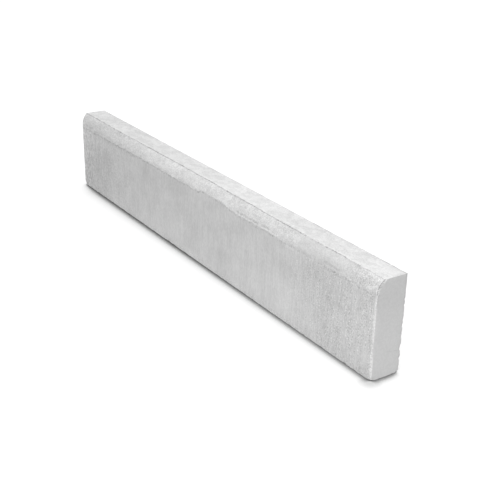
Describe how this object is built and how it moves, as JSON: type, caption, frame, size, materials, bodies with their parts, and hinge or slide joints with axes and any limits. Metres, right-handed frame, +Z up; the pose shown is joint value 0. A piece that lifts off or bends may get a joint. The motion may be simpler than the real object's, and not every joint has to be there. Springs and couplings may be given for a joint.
{
  "type": "concrete kerb stone",
  "caption": "Straight pressed concrete edging kerb of tall narrow section, with a rounded nose along its upper front edge, a fine seam along the flat crown, and square butt ends.",
  "frame": {"origin": "middle of the bed face, the flat underside that the kerb stands on", "axes": "+X along the kerb from one butt end to the other, -Y out of the shown face with the rounded nose, +Y out of the rough back, +Z up through the crown"},
  "size_m": [0.915, 0.05, 0.15],
  "materials": {
    "concrete": "matt pale grey pressed concrete, fine sandy grain with faint drag streaks, rough open back"
  },
  "bodies": {
    "root": {"kerb_stone": "concrete"}
  },
  "joints": []
}
